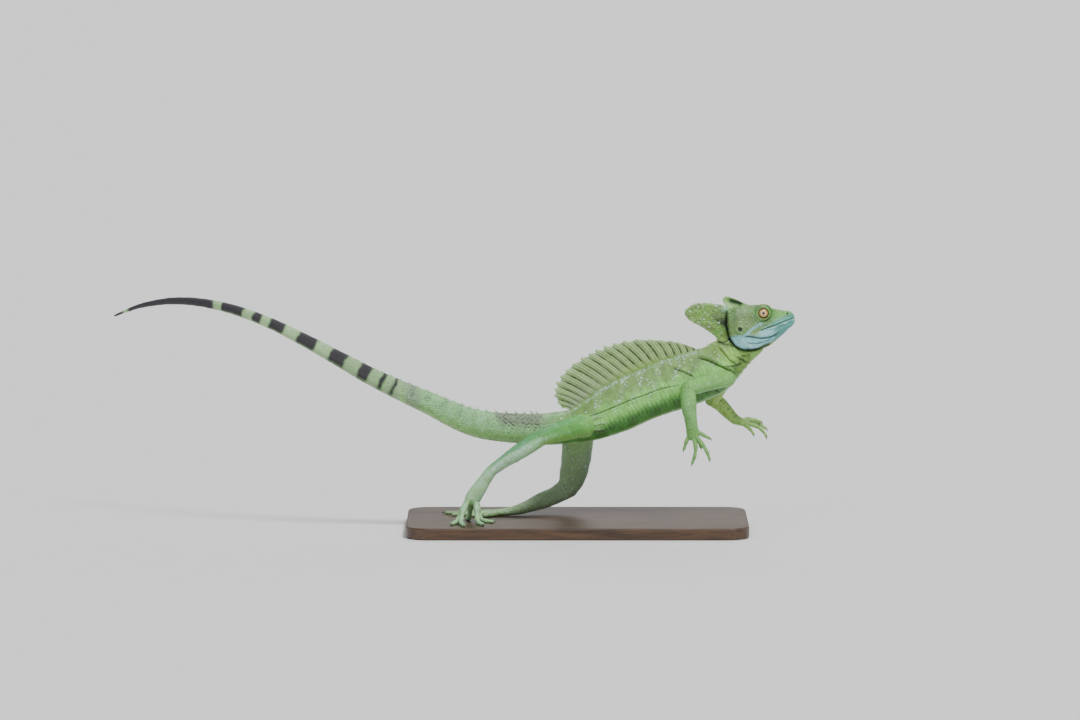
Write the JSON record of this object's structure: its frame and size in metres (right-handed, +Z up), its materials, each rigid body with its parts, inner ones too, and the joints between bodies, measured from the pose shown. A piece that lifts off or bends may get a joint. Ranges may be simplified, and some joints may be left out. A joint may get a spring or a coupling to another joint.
{
  "type": "green basilisk, still display model",
  "caption": "Life-size still model of a male green basilisk lizard running on its hind legs, with head crests, back sail and banded tail, on a flat display base.",
  "frame": {"origin": "middle of the part's outline in plan, at the underside of the base", "axes": "+Z up, +X towards the head, -Y towards the animal's right side"},
  "size_m": [0.584, 0.1734, 0.1989],
  "materials": {
    "skin": "fine scales, satin",
    "limb_skin": "fine scales, satin",
    "tail_skin": "keeled scales, dark and pale bands",
    "crest_skin": "thin skin over raised rays",
    "eye": "clear and wet, gold iris",
    "stand": "dark, satin"
  },
  "bodies": {
    "root": {"head": "skin", "neck": "skin", "chest": "skin", "abdomen": "skin", "pelvis": "skin", "right_upper_arm": "limb_skin", "right_forearm": "limb_skin", "right_hand": "limb_skin", "right_thigh": "limb_skin", "right_shin": "limb_skin", "right_foot": "limb_skin", "left_upper_arm": "limb_skin", "left_forearm": "limb_skin", "left_hand": "limb_skin", "left_thigh": "limb_skin", "left_shin": "limb_skin", "left_foot": "limb_skin", "tail_1": "tail_skin", "tail_2": "tail_skin", "tail_3": "tail_skin", "tail_4": "tail_skin", "tail_5": "tail_skin", "dorsal_sail": "crest_skin", "rear_crest": "crest_skin", "front_crest": "crest_skin", "left_eye": "eye", "right_eye": "eye", "stand_base": "stand"}
  },
  "joints": []
}
